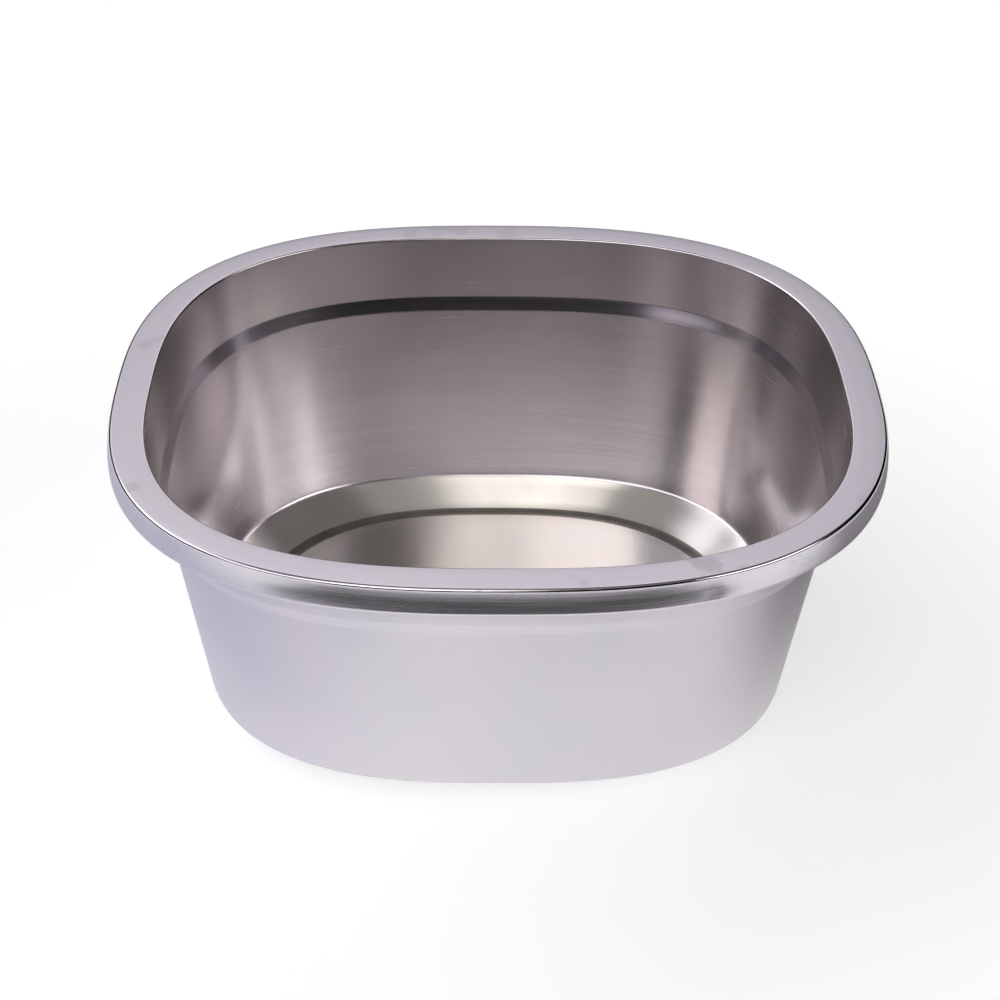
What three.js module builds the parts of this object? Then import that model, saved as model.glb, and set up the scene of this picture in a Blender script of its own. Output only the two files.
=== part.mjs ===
// Pedicure foot bath: a bowl pressed from one sheet of stainless steel.
// Units are millimetres and +Z is up. The origin is the centre of the flat underside of the base,
// +X runs along the bowl's length and +Y across its width.
//
// The bowl has no separate pieces. One blank is drawn into a rounded-rectangle bowl, with a shallow
// step below the mouth and a sloping band around the floor. Its edge is turned out as a flat flange,
// down as a skirt and then curled under, so no cut edge is left where a hand holds the rim.

import * as THREE from "three";

// ---- Driving dimensions -------------------------------------------------------------------------

const LENGTH = 383; // over the skirt, along X
const WIDTH = 333; // over the skirt, along Y
const HEIGHT = 163; // underside of the base to the top of the flange
const SHEET = 0.8; // thickness of the steel

const FLANGE = 17.6; // width of the flat flange at the bowl's ends, from skirt to mouth
const SKIRT = 14.7; // height of the turned-down skirt
const FLARE = 1.5; // the skirt's upper half leans in by this much
const CURL_RETURN = 4; // straight length of the curled edge, inside the skirt

const UPPER_WALL = { inset: 4, drop: 35.2 }; // mouth to the step
const STEP = { inset: 3.5, drop: 7.6 }; // the sloping step
const LOWER_WALL = { inset: 13.4, drop: 104.8 }; // step to the sloping band
const BAND_INSET = 20; // sloping band between the wall and the floor

const BEND = { // radii of the bends, measured on the face that shows
  curl: 2.2,
  skirtMiddle: 50,
  skirtTop: 1.9,
  mouth: 1.2,
  stepTop: 1.6,
  stepFoot: 2,
  bandTop: 4,
  floor: 9,
};

const CORNER_RIM = 2.62; // superellipse exponent of the skirt's outline: 2 is an ellipse
const CORNER_WALL = 2.85; // exponent at the top of the lower wall
const CORNER_FLOOR = 2.6; // exponent at the floor
const WIDTH_SHARE = 0.9; // the walls close in by this much less along Y than along X

const SEGMENTS = 72; // around the bowl
const ARC_STEP = THREE.MathUtils.degToRad(32); // most that one facet of a bend turns

const STEEL = { color: 0xc9c6cb, roughness: 0.32, metalness: 1 };

// ---- The outline: how far the bowl reaches in one direction ---------------------------------------

const WALL_INSET = FLARE + FLANGE + UPPER_WALL.inset + STEP.inset; // where the lower wall starts
const FLOOR_INSET = WALL_INSET + LOWER_WALL.inset + BAND_INSET;

// The outline at an inset from the skirt is a superellipse. Its corners are fullest where the lower
// wall starts, and relax from there towards the skirt and towards the floor.
function outlineCorner(inset) {
  const { clamp, lerp } = THREE.MathUtils;
  if (inset < WALL_INSET) {
    return lerp(CORNER_RIM, CORNER_WALL, clamp(inset / WALL_INSET, 0, 1));
  }
  const share = (inset - WALL_INSET) / (FLOOR_INSET - WALL_INSET);
  return lerp(CORNER_WALL, CORNER_FLOOR, clamp(share, 0, 1));
}

function reach(inset, angle) {
  const halfLength = LENGTH / 2 - inset;
  const halfWidth = WIDTH / 2 - inset * WIDTH_SHARE;
  const corner = outlineCorner(inset);
  const along = Math.abs(Math.cos(angle) / halfLength) ** corner;
  const across = Math.abs(Math.sin(angle) / halfWidth) ** corner;
  return (along + across) ** (-1 / corner);
}

// ---- The section: one face of the sheet, from the curled edge to the floor -----------------------

// Corners of the face that shows, as [inset, height], with the radius of the bend at each.
function sectionCorners() {
  const curlInset = 2 * BEND.curl;
  const skirtFoot = HEIGHT - SKIRT;
  const corners = [];
  let inset = FLARE + FLANGE;
  let height = HEIGHT;
  const add = (x, z, bend) => corners.push({ point: new THREE.Vector2(x, z), bend });
  const drop = (wall, bend) => {
    inset += wall.inset;
    height -= wall.drop;
    add(inset, height, bend);
  };
  add(curlInset, skirtFoot + BEND.curl + CURL_RETURN, 0);
  add(curlInset, skirtFoot, BEND.curl);
  add(0, skirtFoot, BEND.curl);
  add(0, HEIGHT - SKIRT / 2, BEND.skirtMiddle);
  add(FLARE, HEIGHT, BEND.skirtTop);
  add(FLARE + FLANGE, HEIGHT, BEND.mouth);
  drop(UPPER_WALL, BEND.stepTop);
  drop(STEP, BEND.stepFoot);
  drop(LOWER_WALL, BEND.bandTop);
  add(FLOOR_INSET, SHEET, BEND.floor);
  add(LENGTH / 2, SHEET, 0);
  return corners;
}

// Points around one bend, each with the normal that points into the sheet.
function bendPoints(before, corner, after, radius) {
  const inward = before.clone().sub(corner).normalize();
  const outward = after.clone().sub(corner).normalize();
  const turn = Math.PI - Math.acos(THREE.MathUtils.clamp(inward.dot(outward), -1, 1));
  const side = Math.sign(outward.cross(inward));
  const centre = corner.clone().addScaledVector(
    inward.clone().add(outward).normalize(), radius / Math.cos(turn / 2));
  const start = corner.clone().addScaledVector(inward, radius * Math.tan(turn / 2)).sub(centre);
  const facets = Math.max(2, Math.ceil(turn / ARC_STEP));
  const origin = new THREE.Vector2();
  const points = [];
  for (let i = 0; i <= facets; i += 1) {
    const spoke = start.clone().rotateAround(origin, side * turn * (i / facets));
    const intoSheet = spoke.clone().normalize().multiplyScalar(side);
    points.push({ point: centre.clone().add(spoke), intoSheet });
  }
  return points;
}

// The normal of a straight stretch, pointing into the sheet.
function stretchNormal(from, to) {
  const run = to.clone().sub(from).normalize();
  return new THREE.Vector2(run.y, -run.x);
}

function facePoints() {
  const corners = sectionCorners();
  const last = corners.length - 1;
  const points = [];
  corners.forEach(({ point, bend }, i) => {
    if (i === 0) {
      points.push({ point, intoSheet: stretchNormal(point, corners[1].point) });
    } else if (i === last) {
      points.push({ point, intoSheet: stretchNormal(corners[last - 1].point, point) });
    } else {
      points.push(...bendPoints(corners[i - 1].point, point, corners[i + 1].point, bend));
    }
  });
  const joined = (entry, i) => i > 0 && entry.point.distanceTo(points[i - 1].point) < SHEET / 100;
  return points.filter((entry, i) => !joined(entry, i)); // two bends that meet share one point
}

// The closed section: down the shown face to the floor's centre, then back along the hidden face.
function closedSection() {
  const shown = facePoints();
  const hidden = shown.map(({ point, intoSheet }) => point.clone().addScaledVector(intoSheet, SHEET));
  return { shown: shown.map(({ point }) => point), hidden: hidden.reverse() };
}

// ---- The solid: the section swept around the outline ---------------------------------------------

function sweptShell() {
  const { shown, hidden } = closedSection();
  const shownRings = shown.slice(0, -1);
  const hiddenRings = hidden.slice(1);
  const rings = [...shownRings, ...hiddenRings];
  const positions = [];
  for (const { x: inset, y: height } of rings) {
    for (let s = 0; s < SEGMENTS; s += 1) {
      const angle = (2 * Math.PI * s) / SEGMENTS;
      const radius = reach(inset, angle);
      positions.push(radius * Math.cos(angle), radius * Math.sin(angle), height);
    }
  }
  const floorTop = positions.length / 3;
  positions.push(0, 0, SHEET);
  const floorUnderside = floorTop + 1;
  positions.push(0, 0, 0);

  const triangles = [];
  const vertex = (ring, s) => ring * SEGMENTS + (s % SEGMENTS);
  const band = (from, to) => {
    for (let s = 0; s < SEGMENTS; s += 1) {
      triangles.push(vertex(from, s), vertex(to, s + 1), vertex(to, s));
      triangles.push(vertex(from, s), vertex(from, s + 1), vertex(to, s + 1));
    }
  };
  const lastShown = shownRings.length - 1;
  const firstHidden = shownRings.length;
  const lastRing = rings.length - 1;
  for (let ring = 0; ring < lastRing; ring += 1) {
    if (ring !== lastShown) band(ring, ring + 1);
  }
  band(lastRing, 0); // the cut edge of the sheet, at the end of the curl
  for (let s = 0; s < SEGMENTS; s += 1) {
    triangles.push(vertex(lastShown, s), vertex(lastShown, s + 1), floorTop);
    triangles.push(vertex(firstHidden, s + 1), vertex(firstHidden, s), floorUnderside);
  }

  const geometry = new THREE.BufferGeometry();
  geometry.setAttribute("position", new THREE.Float32BufferAttribute(positions, 3));
  geometry.setIndex(triangles);
  geometry.computeVertexNormals();
  return geometry;
}

// ---- Assembly -------------------------------------------------------------------------------------

function basinShell() {
  const mesh = new THREE.Mesh(sweptShell(), new THREE.MeshStandardMaterial(STEEL));
  mesh.name = "basin_shell";
  return mesh;
}

const footBath = new THREE.Group();
footBath.add(basinShell());

export default footBath;
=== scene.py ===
import math
from collections import namedtuple

import bmesh
import bpy
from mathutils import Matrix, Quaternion, Vector, noise

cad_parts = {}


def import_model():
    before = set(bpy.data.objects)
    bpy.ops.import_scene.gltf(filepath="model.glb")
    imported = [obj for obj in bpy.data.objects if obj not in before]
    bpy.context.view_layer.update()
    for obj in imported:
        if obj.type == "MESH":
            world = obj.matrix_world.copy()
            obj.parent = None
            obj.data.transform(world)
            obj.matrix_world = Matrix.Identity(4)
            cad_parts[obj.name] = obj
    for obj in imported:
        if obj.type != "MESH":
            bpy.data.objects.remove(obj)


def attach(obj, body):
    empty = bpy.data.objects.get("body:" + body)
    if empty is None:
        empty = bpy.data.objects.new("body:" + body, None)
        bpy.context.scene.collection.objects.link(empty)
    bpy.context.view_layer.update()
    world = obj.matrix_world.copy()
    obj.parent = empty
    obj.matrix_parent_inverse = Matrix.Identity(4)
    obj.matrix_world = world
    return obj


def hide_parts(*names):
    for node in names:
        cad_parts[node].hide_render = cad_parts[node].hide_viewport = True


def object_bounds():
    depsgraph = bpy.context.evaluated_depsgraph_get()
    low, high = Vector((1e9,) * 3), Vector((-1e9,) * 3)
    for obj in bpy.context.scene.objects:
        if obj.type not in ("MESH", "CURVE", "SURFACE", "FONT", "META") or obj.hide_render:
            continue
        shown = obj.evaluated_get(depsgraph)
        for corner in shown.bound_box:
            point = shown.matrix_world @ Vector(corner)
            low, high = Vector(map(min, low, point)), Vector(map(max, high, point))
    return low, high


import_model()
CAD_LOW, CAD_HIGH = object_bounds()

# A pedicure foot bath: a bowl pressed from one sheet of stainless steel. The CAD shell gives its size;
# this scene makes the same sheet as a fine mesh, with its brushed, satin and polished faces.
# Metres, +Z up. The origin is the centre of the base's underside, and +X runs along the bowl's length.

MM = 0.001

# ---- Size, from the frame ------------------------------------------------------------------------

LENGTH = CAD_HIGH.x - CAD_LOW.x
WIDTH = CAD_HIGH.y - CAD_LOW.y
HEIGHT = CAD_HIGH.z - CAD_LOW.z

# ---- The sheet's section -------------------------------------------------------------------------

SHEET = 0.8 * MM  # thickness of the steel
FLANGE = 17.6 * MM  # width of the flat rim at the bowl's ends
SKIRT = 14.7 * MM  # height of the turned-down edge
FLARE = 1.5 * MM  # the skirt's upper half leans in by this much
CURL_RETURN = 4 * MM  # straight length of the curled edge, inside the skirt

Wall = namedtuple("Wall", "inset drop")
UPPER_WALL = Wall(4 * MM, 35.2 * MM)
STEP = Wall(3.5 * MM, 7.6 * MM)
LOWER_WALL = Wall(13.4 * MM, 104.8 * MM)
BAND_INSET = 20 * MM  # the sloping band between the lower wall and the floor

BEND = {  # radii of the bends, measured on the face that shows
    "curl": 2.2 * MM,
    "skirt_middle": 50 * MM,
    "skirt_top": 1.9 * MM,
    "mouth": 1.2 * MM,
    "step_top": 2.2 * MM,
    "step_foot": 3 * MM,
    "band_top": 4 * MM,
    "floor": 9 * MM,
}

# Superellipse exponents of the outlines: 2 is an ellipse, and more gives fuller corners
CORNER_RIM = 2.62
CORNER_WALL = 2.85
CORNER_FLOOR = 2.6
WIDTH_SHARE = 0.9  # the walls close in by this much less along Y than along X
WALL_INSET = FLARE + FLANGE + UPPER_WALL.inset + STEP.inset  # where the lower wall starts
FLOOR_INSET = WALL_INSET + LOWER_WALL.inset + BAND_INSET

AROUND = 384  # vertices around the bowl
ARC_STEP = math.radians(9)  # most that one facet of a bend turns
FEWEST_FACETS = 4  # in one bend
LONGEST_FACE = 6 * MM  # along the section
FLOOR_RINGS = 14
SHEET_MAP = "sheet"  # UV map: the share of the way around the bowl, and metres along the section

# Finishes of the sheet, as material slots of the one mesh. The step and the floor's crease carry
# painted shade in their tints, and the floor with its band carries painted light.
(
    BRUSHED_WALL,
    SMOOTH_SHADED_STEP,
    LIT_SATIN_FLOOR,
    PAINTED_SHADE_CREASE,
    SATIN_FLANGE,
    SATIN_BEND,
    POLISHED_BEND,
    SATIN_SKIRT,
    DRAWN_OUTSIDE,
) = range(9)

# A ring of vertices around the bowl, with how far along the section it lies
Ring = namedtuple("Ring", "verts travel")
# A point of the section: (inset, height), the normal into the sheet, and the finish that follows it
Row = namedtuple("Row", "point normal finish")
# A corner of the section before it is bent
Corner = namedtuple("Corner", "point bend bend_finish next_finish")


def outline_corner(inset):
    """The superellipse exponent of the outline at an inset from the skirt."""
    if inset < WALL_INSET:
        share = max(inset, 0) / WALL_INSET
        return CORNER_RIM + (CORNER_WALL - CORNER_RIM) * share
    share = min((inset - WALL_INSET) / (FLOOR_INSET - WALL_INSET), 1)
    return CORNER_WALL + (CORNER_FLOOR - CORNER_WALL) * share


def reach(inset, angle):
    """How far the outline at that inset lies from the bowl's axis, in one direction."""
    half_length = LENGTH / 2 - inset
    half_width = WIDTH / 2 - inset * WIDTH_SHARE
    corner = outline_corner(inset)
    along = abs(math.cos(angle) / half_length) ** corner
    across = abs(math.sin(angle) / half_width) ** corner
    return (along + across) ** (-1 / corner)


def section_corners():
    """Corners of the face that shows, from the curl's edge up over the rim and down to the floor."""
    skirt_foot = HEIGHT - SKIRT
    curl_inset = 2 * BEND["curl"]
    curl_edge = Vector((curl_inset, skirt_foot + BEND["curl"] + CURL_RETURN))
    corners = [
        Corner(curl_edge, 0, DRAWN_OUTSIDE, DRAWN_OUTSIDE),
        Corner(Vector((curl_inset, skirt_foot)), BEND["curl"], DRAWN_OUTSIDE, SATIN_SKIRT),
        Corner(Vector((0, skirt_foot)), BEND["curl"], SATIN_SKIRT, SATIN_SKIRT),
        Corner(Vector((0, HEIGHT - SKIRT / 2)), BEND["skirt_middle"], SATIN_SKIRT, SATIN_SKIRT),
        Corner(Vector((FLARE, HEIGHT)), BEND["skirt_top"], POLISHED_BEND, SATIN_FLANGE),
        Corner(Vector((FLARE + FLANGE, HEIGHT)), BEND["mouth"], SATIN_BEND, BRUSHED_WALL),
    ]
    inset = FLARE + FLANGE
    height = HEIGHT
    walls = (
        (UPPER_WALL, "step_top", SMOOTH_SHADED_STEP, SMOOTH_SHADED_STEP),
        (STEP, "step_foot", BRUSHED_WALL, BRUSHED_WALL),
        (LOWER_WALL, "band_top", BRUSHED_WALL, LIT_SATIN_FLOOR),
    )
    for wall, bend, bend_finish, next_finish in walls:
        inset += wall.inset
        height -= wall.drop
        corners.append(Corner(Vector((inset, height)), BEND[bend], bend_finish, next_finish))
    floor_corner = Vector((FLOOR_INSET, SHEET))
    corners.append(Corner(floor_corner, BEND["floor"], PAINTED_SHADE_CREASE, LIT_SATIN_FLOOR))
    return corners


def bend_points(before, corner, after, radius):
    """Points around a bend, each with the normal that points into the sheet."""
    inward = (before - corner).normalized()
    outward = (after - corner).normalized()
    turn = math.pi - inward.angle(outward)
    side = math.copysign(1, outward.cross(inward))
    centre = corner + (inward + outward).normalized() * radius / math.cos(turn / 2)
    start = corner + inward * radius * math.tan(turn / 2) - centre
    facets = max(FEWEST_FACETS, math.ceil(turn / ARC_STEP))
    points = []
    for i in range(facets + 1):
        swing = side * turn * i / facets
        spoke = Vector((
            start.x * math.cos(swing) - start.y * math.sin(swing),
            start.x * math.sin(swing) + start.y * math.cos(swing),
        ))
        points.append((centre + spoke, spoke.normalized() * side))
    return points


def stretch_normal(start, end):
    """The normal of a straight stretch, pointing into the sheet."""
    run = (end - start).normalized()
    return Vector((run.y, -run.x))


def section():
    """Rows of the shown face, from the curl's edge to the floor's corner."""
    corners = section_corners()
    centre = Vector((LENGTH / 2, SHEET))
    edge, bend_after = corners[0].point, corners[1].point
    rows = [Row(edge, stretch_normal(edge, bend_after), corners[0].next_finish)]
    for i in range(1, len(corners)):
        corner = corners[i]
        before = corners[i - 1].point
        after = corners[i + 1].point if i + 1 < len(corners) else centre
        arc = bend_points(before, corner.point, after, corner.bend)
        extend_stretch(rows, arc[0][0])
        for point, normal in arc:
            rows.append(Row(point, normal, corner.bend_finish))
        rows[-1] = rows[-1]._replace(finish=corner.next_finish)
    return rows


def extend_stretch(rows, end):
    """Adds rows along a straight stretch, from the last row up to the next bend."""
    start = rows[-1]
    gap = (end - start.point).length
    if gap < SHEET / 100:  # the two bends meet, and share one point
        rows.pop()
        return
    faces = math.ceil(gap / LONGEST_FACE)
    for i in range(1, faces):
        rows.append(start._replace(point=start.point.lerp(end, i / faces)))


# ---- Small unevenness of pressed sheet -----------------------------------------------------------

# Each dent: degrees around the bowl, the section's inset and height there, its radius and its depth
Dent = namedtuple("Dent", "around inset height radius depth")
DENTS = (
    Dent(-59, 0.3 * MM, 154 * MM, 6 * MM, 0.35 * MM),
    Dent(-118, 30 * MM, 78 * MM, 5 * MM, 0.2 * MM),
    Dent(-52, 24 * MM, 108 * MM, 4 * MM, 0.2 * MM),
    Dent(-47, 29 * MM, 82 * MM, 4 * MM, 0.15 * MM),
    Dent(104, 27 * MM, 96 * MM, 7 * MM, 0.25 * MM),
    Dent(201, 33 * MM, 62 * MM, 6 * MM, 0.2 * MM),
)
WAVE = 0.12 * MM  # size of the walls' wander
WAVE_LENGTH = 70 * MM
RIPPLE_LENGTH = WAVE_LENGTH * 0.45
MEAN_WAVE = 0.75  # share of the wave that is there everywhere
WAVE_SWING = 0.5  # share of the wave that comes and goes
FLOOR_MARGIN = 4 * SHEET  # the wander fades out this far above the base


def wander(place):
    """How far inward a point of the wall lies off the true surface: none at the rim or the floor."""
    below_rim = HEIGHT - SKIRT - place.z
    above_floor = place.z - FLOOR_MARGIN
    fade = min(max(min(below_rim, above_floor) / SKIRT, 0), 1)
    swell = noise.noise(place / WAVE_LENGTH) + noise.noise(place / RIPPLE_LENGTH) / 2
    return WAVE * fade * (MEAN_WAVE + WAVE_SWING * swell)


def dent_places():
    """Each dent with its middle on the wall."""
    places = []
    for dent in DENTS:
        angle = math.radians(dent.around)
        radius = reach(dent.inset, angle)
        place = Vector((radius * math.cos(angle), radius * math.sin(angle), dent.height))
        places.append((dent, place))
    return places


def unevenness(place, dents):
    """How far inward the wall lies off the true surface, with its wander and its dents."""
    push = wander(place)
    for dent, centre in dents:
        share = (place - centre).length / dent.radius
        if share < 1:
            push += dent.depth * (1 - share * share) ** 2
    return push


# ---- The mesh ------------------------------------------------------------------------------------

def basin_mesh():
    """The sheet as one closed mesh: its shown face down to the floor, then its hidden face back up."""
    shown = section()
    hidden = [Row(r.point + r.normal * SHEET, r.normal, DRAWN_OUTSIDE) for r in reversed(shown)]
    last_shown = len(shown) - 1
    mesh = bpy.data.meshes.new("basin")
    work = bmesh.new()
    work.loops.layers.uv.new(SHEET_MAP)
    dents = dent_places()
    rings = []
    travel = 0
    rows = shown + hidden
    for i, row in enumerate(rows):
        if i:
            travel += (row.point - rows[i - 1].point).length
        rings.append(ring(work, row.point, travel, dents))
    for i in range(len(rings) - 1):
        if i != last_shown:
            join_rings(work, rings[i], rings[i + 1], rows[i].finish)
    join_rings(work, rings[-1], rings[0]._replace(travel=travel), DRAWN_OUTSIDE)
    fill_floor(work, rings[last_shown], SHEET, LIT_SATIN_FLOOR, True)
    fill_floor(work, rings[last_shown + 1], 0, DRAWN_OUTSIDE, False)
    work.to_mesh(mesh)
    work.free()
    return mesh


def ring(work, point, travel, dents):
    """A ring of vertices around the bowl through one point of the section."""
    inset, height = point
    verts = []
    for s in range(AROUND):
        angle = 2 * math.pi * s / AROUND
        radius = reach(inset, angle)
        place = Vector((radius * math.cos(angle), radius * math.sin(angle), height))
        radius -= unevenness(place, dents)
        verts.append(work.verts.new((radius * math.cos(angle), radius * math.sin(angle), height)))
    return Ring(verts, travel)


def add_face(work, corners, finish):
    """A face from (vertex, across, travel) corners."""
    face = work.faces.new([vert for vert, across, travel in corners])
    face.smooth = True
    face.material_index = finish
    sheet_map = work.loops.layers.uv[SHEET_MAP]
    for loop, (vert, across, travel) in zip(face.loops, corners):
        loop[sheet_map].uv = (across, travel)


def join_rings(work, one, two, finish):
    """A belt of faces between two rings."""
    for s in range(AROUND):
        following = (s + 1) % AROUND
        here, there = s / AROUND, (s + 1) / AROUND
        corners = (
            (one.verts[s], here, one.travel),
            (one.verts[following], there, one.travel),
            (two.verts[following], there, two.travel),
            (two.verts[s], here, two.travel),
        )
        add_face(work, corners, finish)


def fill_floor(work, edge, height, finish, faces_up):
    """Closes the floor with shrinking rings down to a point at its centre."""
    span = edge.verts[0].co.x
    outer = edge
    for i in range(1, FLOOR_RINGS):
        share = 1 - i / FLOOR_RINGS
        verts = [work.verts.new((v.co.x * share, v.co.y * share, height)) for v in edge.verts]
        inner = Ring(verts, edge.travel + span * (1 - share))
        pair = (outer, inner) if faces_up else (inner, outer)
        join_rings(work, pair[0], pair[1], finish)
        outer = inner
    hub = work.verts.new((0, 0, height))
    for s in range(AROUND):
        following = (s + 1) % AROUND
        corners = (
            (outer.verts[s], s / AROUND, outer.travel),
            (outer.verts[following], (s + 1) / AROUND, outer.travel),
            (hub, (s + 0.5) / AROUND, edge.travel + span),
        )
        add_face(work, corners if faces_up else corners[::-1], finish)


# ---- Materials -----------------------------------------------------------------------------------

# Each kind of face is a mix of two close tints
INSIDE_TINTS = ((0.725, 0.682, 0.68), (0.715, 0.677, 0.69))
# Painted light: the floor and its band are tinted lighter and warmer than the walls of the same sheet
FLOOR_LIT_TINTS = ((0.84, 0.81, 0.77), (0.83, 0.805, 0.775))
# Painted shade: the step is tinted darker than the walls of the same sheet
STEP_SHADE_TINTS = ((0.57, 0.54, 0.55), (0.55, 0.53, 0.55))
# Painted shade: the crease around the floor is tinted much darker than the rest of the sheet
CREASE_SHADE_TINTS = ((0.32, 0.3, 0.275), (0.29, 0.275, 0.255))
OUTSIDE_TINTS = ((0.69, 0.658, 0.69), (0.675, 0.648, 0.695))

ACROSS_BRUSHING = 0.25  # a quarter turn: brushed steel spreads light across its brush marks
MIDDLE = (0.32, 0.68)  # most of a noise pattern's values lie between these
BLOTCH_EDGE = 0.07  # how softly a blotch ends, in the same values


def steel(name, anisotropy=0):
    """Bare steel whose brush marks, if it has any, run around the bowl."""
    mat = bpy.data.materials.new(name)
    mat.use_nodes = True
    shader = shader_of(mat)
    shader.inputs["Metallic"].default_value = 1
    if anisotropy:
        shader.inputs["Anisotropic"].default_value = anisotropy
        shader.inputs["Anisotropic Rotation"].default_value = ACROSS_BRUSHING
        tangent = mat.node_tree.nodes.new("ShaderNodeTangent")
        tangent.direction_type = "UV_MAP"
        tangent.uv_map = SHEET_MAP
        join(mat, tangent.outputs["Tangent"], shader.inputs["Tangent"])
    return mat


def shader_of(mat):
    return mat.node_tree.nodes["Principled BSDF"]


def join(owner, source, target):
    owner.node_tree.links.new(source, target)


def maths(owner, operation, first, second=0):
    """A Math node on two sockets or numbers."""
    node = owner.node_tree.nodes.new("ShaderNodeMath")
    node.operation = operation
    for value, target in zip((first, second), node.inputs):
        if isinstance(value, (int, float)):
            target.default_value = value
        else:
            join(owner, value, target)
    return node.outputs[0]


def remap(owner, source, from_low, from_high, low, high, smooth=False):
    """A value carried from one range to another, and held at its ends."""
    node = owner.node_tree.nodes.new("ShaderNodeMapRange")
    node.interpolation_type = "SMOOTHSTEP" if smooth else "LINEAR"
    join(owner, source, node.inputs["Value"])
    node.inputs["From Min"].default_value = from_low
    node.inputs["From Max"].default_value = from_high
    node.inputs["To Min"].default_value = low
    node.inputs["To Max"].default_value = high
    return node.outputs["Result"]


def combine(mat, x, y, z):
    node = mat.node_tree.nodes.new("ShaderNodeCombineXYZ")
    for value, target in zip((x, y, z), node.inputs):
        join(mat, value, target)
    return node.outputs["Vector"]


def split(owner, source):
    node = owner.node_tree.nodes.new("ShaderNodeSeparateXYZ")
    join(owner, source, node.inputs["Vector"])
    return node.outputs


def noise_of(mat, vector, detail, scale=1):
    node = mat.node_tree.nodes.new("ShaderNodeTexNoise")
    join(mat, vector, node.inputs["Vector"])
    node.inputs["Scale"].default_value = scale
    node.inputs["Detail"].default_value = detail
    return node.outputs["Fac"]


def place_of(mat):
    return mat.node_tree.nodes.new("ShaderNodeTexCoord").outputs["Object"]


def section_travel(mat):
    """Metres along the sheet's section, from the curl's edge over the rim and down the bowl."""
    sheet = mat.node_tree.nodes.new("ShaderNodeUVMap")
    sheet.uv_map = SHEET_MAP
    return split(mat, sheet.outputs["UV"])["Y"]


def brush_marks(mat, pitch, length):
    """Fine lines that run around the bowl."""
    place = split(mat, place_of(mat))
    x = maths(mat, "DIVIDE", place["X"], length)
    y = maths(mat, "DIVIDE", place["Y"], length)
    across = maths(mat, "DIVIDE", section_travel(mat), pitch)
    return noise_of(mat, combine(mat, x, y, across), detail=2)


def draw_marks(mat, pitch, length):
    """Faint streaks that run up the wall, the way the sheet was drawn through the die."""
    place = split(mat, place_of(mat))
    angle = maths(mat, "ARCTAN2", place["Y"], place["X"])
    turns = LENGTH / 2 / pitch
    x = maths(mat, "MULTIPLY", maths(mat, "COSINE", angle), turns)
    y = maths(mat, "MULTIPLY", maths(mat, "SINE", angle), turns)
    up = maths(mat, "DIVIDE", section_travel(mat), length)
    return noise_of(mat, combine(mat, x, y, up), detail=3)


def clouds(mat, size, detail=2):
    """Soft patches with no direction."""
    return noise_of(mat, place_of(mat), detail, 1 / size)


def grain(mat, size):
    """Fine grain with no direction."""
    return clouds(mat, size, detail=1)


def sum_of(mat, base, *parts):
    """A number with patterns added to it."""
    total = base
    for part in parts:
        total = maths(mat, "ADD", part, total)
    return total


def swing(mat, pattern, amount):
    """A pattern as a change of up to that amount either way."""
    return remap(mat, pattern, *MIDDLE, -amount, amount)


def set_roughness(mat, base, *parts):
    """A base roughness, varied by the given swings."""
    join(mat, sum_of(mat, base, *parts), shader_of(mat).inputs["Roughness"])


def set_color(mat, tints, tint_pattern, brightness_parts):
    """Steel between two tints, with the brightness varied by the given swings."""
    tint = mat.node_tree.nodes.new("ShaderNodeMix")
    tint.data_type = "RGBA"
    join(mat, remap(mat, tint_pattern, *MIDDLE, 0, 1), tint.inputs["Factor"])
    for end, color in zip("AB", tints):
        tint.inputs[end].default_value = (*color, 1)
    bright = mat.node_tree.nodes.new("ShaderNodeVectorMath")
    bright.operation = "SCALE"
    join(mat, tint.outputs["Result"], bright.inputs[0])
    join(mat, sum_of(mat, 1, *brightness_parts), bright.inputs["Scale"])
    join(mat, bright.outputs["Vector"], shader_of(mat).inputs["Base Color"])


def set_relief(mat, pattern, depth):
    """A pattern as fine relief of that depth, in metres."""
    bump = mat.node_tree.nodes.new("ShaderNodeBump")
    bump.inputs["Distance"].default_value = depth
    join(mat, pattern, bump.inputs["Height"])
    join(mat, bump.outputs["Normal"], shader_of(mat).inputs["Normal"])


def blotches(mat, size, share):
    """Sparse soft patches, from 0 to 1: share is how much of the surface they take."""
    edge = MIDDLE[1] - share * (MIDDLE[1] - MIDDLE[0])
    return remap(mat, clouds(mat, size, detail=4), edge, edge + BLOTCH_EDGE, 0, 1, smooth=True)


def times(mat, pattern, amount):
    return maths(mat, "MULTIPLY", pattern, amount)


def brushed_wall():
    """The inner walls: fine brush marks all the way round, with a soft cloudiness."""
    mat = steel("brushed_wall", anisotropy=0.5)
    marks = brush_marks(mat, pitch=1.5 * MM, length=160 * MM)
    patches = clouds(mat, size=45 * MM)
    set_roughness(mat, 0.25, swing(mat, marks, 0.01), swing(mat, patches, 0.015))
    set_color(mat, INSIDE_TINTS, patches, (swing(mat, marks, 0.025),))
    set_relief(mat, marks, depth=0.0002 * MM)
    return mat


def smooth_shaded_step():
    """The step: pressed smoother than the walls, with finer marks around it, and tinted darker than the
    walls as painted shade.
    """
    mat = steel("smooth_shaded_step")
    marks = brush_marks(mat, pitch=0.8 * MM, length=120 * MM)
    set_roughness(mat, 0.2, swing(mat, marks, 0.02))
    set_color(mat, STEP_SHADE_TINTS, clouds(mat, size=40 * MM), (swing(mat, marks, 0.03),))
    return mat


def painted_shade_crease():
    """The bend around the floor: tinted dark as painted shade, and a little rougher than the floor."""
    mat = steel("painted_shade_crease")
    crease_mottle = clouds(mat, size=16 * MM, detail=4)
    set_roughness(mat, 0.3, swing(mat, crease_mottle, 0.04))
    set_color(mat, CREASE_SHADE_TINTS, clouds(mat, size=50 * MM), (swing(mat, crease_mottle, 0.08),))
    return mat


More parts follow.
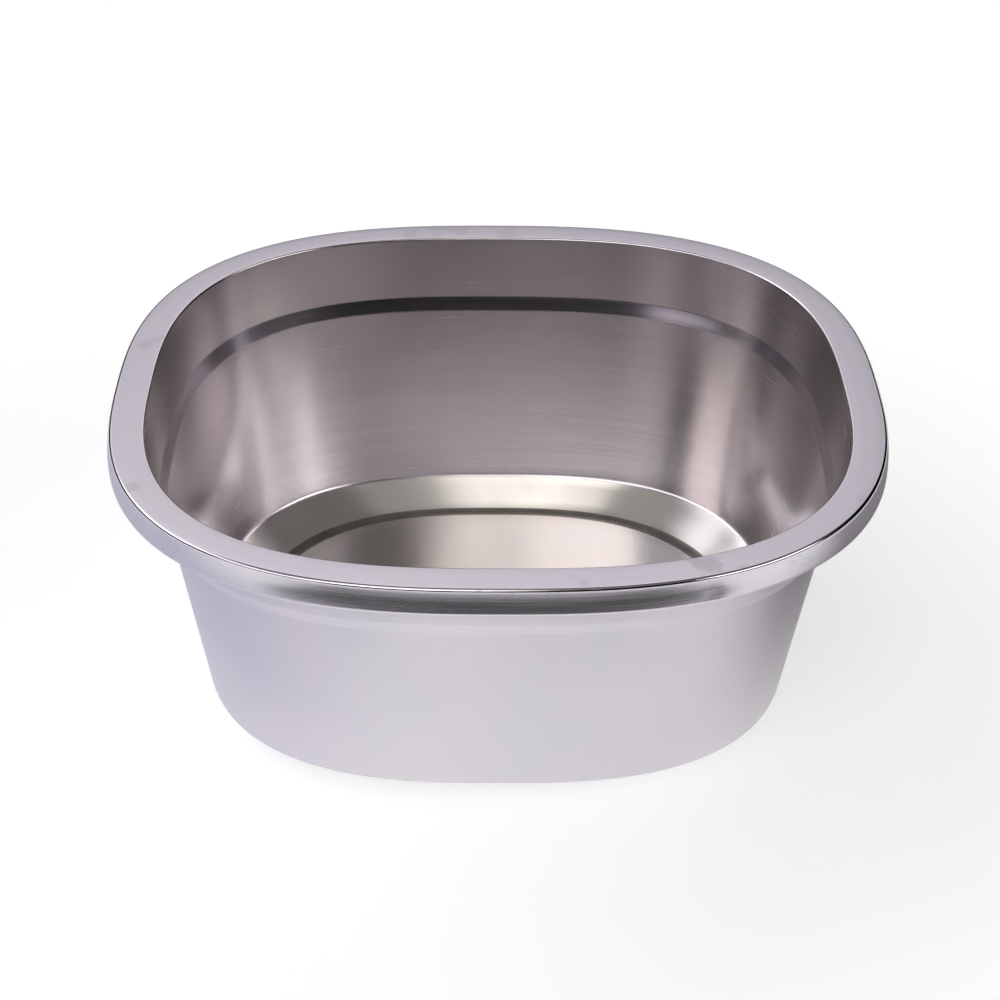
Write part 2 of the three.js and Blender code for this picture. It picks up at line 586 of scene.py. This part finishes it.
def lit_satin_floor():
    """The floor and the band around it: even satin, tinted lighter and warmer than the walls as painted
    light, with a few dried water spots.
    """
    mat = steel("lit_satin_floor")
    patches = clouds(mat, size=30 * MM)
    fine = grain(mat, size=0.6 * MM)
    spots = water_spots(mat, spacing=9 * MM, radius=0.9 * MM)
    set_roughness(mat, 0.18, swing(mat, patches, 0.02), swing(mat, fine, 0.015), times(mat, spots, 0.2))
    set_color(mat, FLOOR_LIT_TINTS, patches, (swing(mat, fine, 0.02), times(mat, spots, 0.12)))
    set_relief(mat, fine, depth=0.001 * MM)
    return mat


def water_spots(mat, spacing, radius):
    """Small round marks, about one in each cell of that spacing, kept only in sparse patches."""
    cells = mat.node_tree.nodes.new("ShaderNodeTexVoronoi")
    cells.inputs["Scale"].default_value = 1 / spacing
    join(mat, place_of(mat), cells.inputs["Vector"])
    share = radius / spacing
    dots = remap(mat, cells.outputs["Distance"], share, share / 2, 0, 1, smooth=True)
    return maths(mat, "MULTIPLY", dots, blotches(mat, size=60 * MM, share=0.35))


def satin_flange():
    """The flat rim: fine satin grain, faint brush marks and a few finger smudges."""
    mat = steel("satin_flange")
    marks = brush_marks(mat, pitch=0.6 * MM, length=40 * MM)
    smudges = blotches(mat, size=22 * MM, share=0.2)
    set_roughness(mat, 0.34, swing(mat, marks, 0.02), times(mat, smudges, 0.06))
    brightness = (swing(mat, marks, 0.015), times(mat, smudges, -0.06))
    set_color(mat, OUTSIDE_TINTS, clouds(mat, size=60 * MM), brightness)
    set_relief(mat, grain(mat, size=0.5 * MM), depth=0.0015 * MM)
    return mat


def satin_bend():
    """The bend from the flange into the mouth: satin, with brush marks along it."""
    mat = steel("satin_bend")
    marks = brush_marks(mat, pitch=0.5 * MM, length=50 * MM)
    set_roughness(mat, 0.22, swing(mat, marks, 0.04))
    set_color(mat, INSIDE_TINTS, clouds(mat, size=25 * MM), (swing(mat, marks, 0.03),))
    return mat


def polished_bend():
    """The rim's outer bend, rubbed bright by handling, with dull nicks along it."""
    mat = steel("polished_bend")
    worn = blotches(mat, size=9 * MM, share=0.3)
    marks = brush_marks(mat, pitch=0.4 * MM, length=12 * MM)
    set_roughness(mat, 0.1, times(mat, worn, 0.08), swing(mat, marks, 0.02))
    set_color(mat, OUTSIDE_TINTS, clouds(mat, size=20 * MM), (times(mat, worn, -0.05),))
    return mat


def satin_skirt():
    """The turned-down edge: satin, with brush marks along it and slight scuffs."""
    mat = steel("satin_skirt")
    marks = brush_marks(mat, pitch=0.7 * MM, length=60 * MM)
    scuffs = blotches(mat, size=12 * MM, share=0.2)
    set_roughness(mat, 0.24, swing(mat, marks, 0.03), times(mat, scuffs, 0.05))
    brightness = (swing(mat, marks, 0.03), times(mat, scuffs, -0.04))
    set_color(mat, OUTSIDE_TINTS, clouds(mat, size=40 * MM), brightness)
    set_relief(mat, marks, depth=0.0015 * MM)
    return mat


def drawn_outside():
    """The outer walls and the underside: even satin, with faint drawing streaks up the walls."""
    mat = steel("drawn_outside")
    streaks = draw_marks(mat, pitch=2.5 * MM, length=60 * MM)
    patches = clouds(mat, size=55 * MM)
    fine = grain(mat, size=0.7 * MM)
    set_roughness(mat, 0.36, swing(mat, streaks, 0.02), swing(mat, patches, 0.03))
    set_color(mat, OUTSIDE_TINTS, patches, (swing(mat, streaks, 0.01), swing(mat, fine, 0.01)))
    set_relief(mat, fine, depth=0.002 * MM)
    return mat


def basin():
    """The whole bowl, with one material slot for each finish."""
    mesh = basin_mesh()
    obj = bpy.data.objects.new("pressed_basin", mesh)
    bpy.context.collection.objects.link(obj)
    finishes = {
        BRUSHED_WALL: brushed_wall,
        SMOOTH_SHADED_STEP: smooth_shaded_step,
        LIT_SATIN_FLOOR: lit_satin_floor,
        PAINTED_SHADE_CREASE: painted_shade_crease,
        SATIN_FLANGE: satin_flange,
        SATIN_BEND: satin_bend,
        POLISHED_BEND: polished_bend,
        SATIN_SKIRT: satin_skirt,
        DRAWN_OUTSIDE: drawn_outside,
    }
    for finish in sorted(finishes):
        mesh.materials.append(finishes[finish]())
    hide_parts("basin_shell")
    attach(obj, "root")


# ---- Studio --------------------------------------------------------------------------------------

MATTE = 0.9  # roughness of paper and of the table

FLOOR_SIZE = 30
FLOOR_COLOR = (0.75, 0.75, 0.75)
FLOOR_GLOW_COLOR = (0.98, 1, 0.96)
FLOOR_GLOW = 0.52
UNDER_CARDS = 0.2 * MM  # the table lies this far below the cards

BACKDROP_RADIUS = 12
BACKDROP_GLOW = 0.95
BACKDROP_SIDES = 96

# Cards on the table: the middle, the size, the colour, how much the card glows, and how much of it
# fades out towards the edges
Card = namedtuple("Card", "x y length width color glow fade")
CARDS = {
    "front_card": Card(0, -0.48, 0.6, 0.34, (0.03, 0.025, 0.025), 0, 0.05),
    "right_card": Card(0.42, 0.165, 0.6, 0.85, (0.4, 0.39, 0.4), 0, 0.5),
    "left_card": Card(-0.42, 0.02, 0.8, 0.9, (0.78, 0.78, 0.88), 0.15, 0.6),
}
HALF_CARD = 0.5  # a card is a plane one unit wide, stretched to its size

# Soft boxes of the studio, as soft-edged patches of sky. Azimuth is from the front (-Y) towards +X.
# Angles are in degrees: the middle, half the width, half the height and the softness of the edges.
SoftBox = namedtuple("SoftBox", "azimuth elevation half_width half_height softness radiance")
SOFT_BOXES = {
    "back": SoftBox(220, 42, 62, 16, 6, (1.02, 1, 1.06)),
    "left_strip": SoftBox(291, 37.5, 70, 5.5, 1, (2.8, 2.9, 3.2)),
    "left_low": SoftBox(317, 20, 17, 8, 4, (1.15, 1.05, 1.2)),
    "right_strip": SoftBox(61, 30.5, 23, 9, 1, (3.1, 2.95, 3.1)),
    "front_overhead": SoftBox(342, 68, 72, 6, 5, (0.19, 0.185, 0.18)),
    "front": SoftBox(344, 54.5, 22, 15, 3, (1.3, 1.24, 1.18)),
    "ceiling": SoftBox(0, 60, 190, 15, 5, (0.14, 0.13, 0.13)),
    "zenith": SoftBox(0, 90, 190, 12, 4, (0.28, 0.27, 0.27)),
}
DARK_STUDIO = (0.002, 0.002, 0.002)


def plain(name, color, glow_color, glow):
    """Matt paper that glows a little."""
    mat = bpy.data.materials.new(name)
    mat.use_nodes = True
    shader = shader_of(mat)
    shader.inputs["Base Color"].default_value = (*color, 1)
    shader.inputs["Roughness"].default_value = MATTE
    shader.inputs["Emission Color"].default_value = (*glow_color, 1)
    shader.inputs["Emission Strength"].default_value = glow
    return mat


def floor():
    """A large white table, lit from above and a little from inside, as a light table is."""
    bpy.ops.mesh.primitive_plane_add(size=FLOOR_SIZE, location=(0, 0, CAD_LOW.z - UNDER_CARDS))
    obj = bpy.context.object
    obj.name = "floor"
    obj.data.materials.append(plain("pale_floor", FLOOR_COLOR, FLOOR_GLOW_COLOR, FLOOR_GLOW))


def card_paper(name, card):
    """A card's paper, opaque in the middle and fading out towards its edges."""
    mat = plain(name + "_paper", card.color, card.color, card.glow)
    place = split(mat, place_of(mat))
    shown = 1
    for axis in "XY":
        aside = maths(mat, "ABSOLUTE", place[axis])
        full = HALF_CARD * (1 - card.fade)
        shown = maths(mat, "MULTIPLY", remap(mat, aside, HALF_CARD, full, 0, 1, smooth=True), shown)
    join(mat, shown, shader_of(mat).inputs["Alpha"])
    return mat


def cards():
    """Cards that only the bowl's reflections show."""
    for name, card in CARDS.items():
        bpy.ops.mesh.primitive_plane_add(size=2 * HALF_CARD, location=(card.x, card.y, CAD_LOW.z))
        obj = bpy.context.object
        obj.name = name
        obj.scale = (card.length, card.width, 1)
        obj.data.materials.append(card_paper(name, card))
        obj.visible_camera = False
        obj.visible_diffuse = False
        obj.visible_shadow = False


def backdrop():
    """A pale curved wall far behind the table, for views from low down. Only the camera sees it."""
    bpy.ops.mesh.primitive_cylinder_add(
        vertices=BACKDROP_SIDES,
        radius=BACKDROP_RADIUS,
        depth=BACKDROP_RADIUS,
        end_fill_type="NOTHING",
    )
    obj = bpy.context.object
    obj.name = "backdrop"
    obj.data.materials.append(plain("pale_backdrop", FLOOR_COLOR, (1, 1, 1), BACKDROP_GLOW))
    obj.visible_diffuse = False
    obj.visible_glossy = False
    obj.visible_shadow = False


def patch_of_sky(sky, direction, box):
    """How much of a soft box is seen along a direction, from 0 to 1."""
    middle = math.radians(box.azimuth)
    x = maths(sky, "MULTIPLY", direction["X"], math.sin(middle))
    y = maths(sky, "MULTIPLY", direction["Y"], -math.cos(middle))
    level = maths(sky, "SQRT", maths(sky, "SUBTRACT", 1, maths(sky, "POWER", direction["Z"], 2)))
    towards = maths(sky, "DIVIDE", maths(sky, "ADD", x, y), level)
    aside = maths(sky, "ARCCOSINE", towards)
    up = maths(sky, "ARCSINE", direction["Z"])
    above = maths(sky, "ABSOLUTE", maths(sky, "SUBTRACT", up, math.radians(box.elevation)))
    within = []
    for offset, half in ((aside, box.half_width), (above, box.half_height)):
        outer = math.radians(half + box.softness)
        inner = math.radians(half - box.softness)
        within.append(remap(sky, offset, outer, inner, 0, 1, smooth=True))
    return maths(sky, "MULTIPLY", within[0], within[1])


def world():
    """The soft boxes, added up over a nearly dark studio."""
    sky = bpy.data.worlds.new("studio")
    bpy.context.scene.world = sky
    sky.use_nodes = True
    nodes = sky.node_tree.nodes
    direction = split(sky, nodes.new("ShaderNodeTexCoord").outputs["Generated"])
    light = nodes.new("ShaderNodeRGB").outputs[0]
    light.default_value = (*DARK_STUDIO, 1)
    for box in SOFT_BOXES.values():
        glow = nodes.new("ShaderNodeVectorMath")
        glow.operation = "MULTIPLY_ADD"
        join(sky, patch_of_sky(sky, direction, box), glow.inputs[0])
        glow.inputs[1].default_value = box.radiance
        join(sky, light, glow.inputs[2])
        light = glow.outputs["Vector"]
    join(sky, light, nodes["Background"].inputs["Color"])


# ---- Camera --------------------------------------------------------------------------------------

AZIMUTH = math.radians(-0.9)
ELEVATION = math.radians(36)
ROLL = math.radians(0.68)
DISTANCE = 1.076
AIM_BELOW_RIM = 71.6 * MM
AIM_RIGHT = 1.6 * MM
SENSOR_WIDTH = 36  # the camera's own millimetres
FOCAL_SHARE = 2.073  # focal length over the sensor's width


def aim(obj, target):
    """Turns an object so that its -Z axis points at a place."""
    obj.rotation_mode = "QUATERNION"
    obj.rotation_quaternion = (target - obj.location).to_track_quat("-Z", "Y")


def camera():
    """The camera, aimed at a point between the rim and the base."""
    data = bpy.data.cameras.new("camera")
    data.sensor_width = SENSOR_WIDTH
    data.lens = FOCAL_SHARE * SENSOR_WIDTH
    obj = bpy.data.objects.new("camera", data)
    right = Vector((math.cos(AZIMUTH), math.sin(AZIMUTH), 0))
    target = right * AIM_RIGHT + Vector((0, 0, HEIGHT - AIM_BELOW_RIM))
    back = Vector((
        math.sin(AZIMUTH) * math.cos(ELEVATION),
        -math.cos(AZIMUTH) * math.cos(ELEVATION),
        math.sin(ELEVATION),
    ))
    obj.location = target + back * DISTANCE
    aim(obj, target)
    obj.rotation_quaternion @= Quaternion((0, 0, 1), ROLL)
    bpy.context.collection.objects.link(obj)
    bpy.context.scene.camera = obj


# ---- Scene ---------------------------------------------------------------------------------------

camera()
basin()
floor()
cards()
backdrop()
world()
bpy.context.scene.view_settings.view_transform = "Standard"
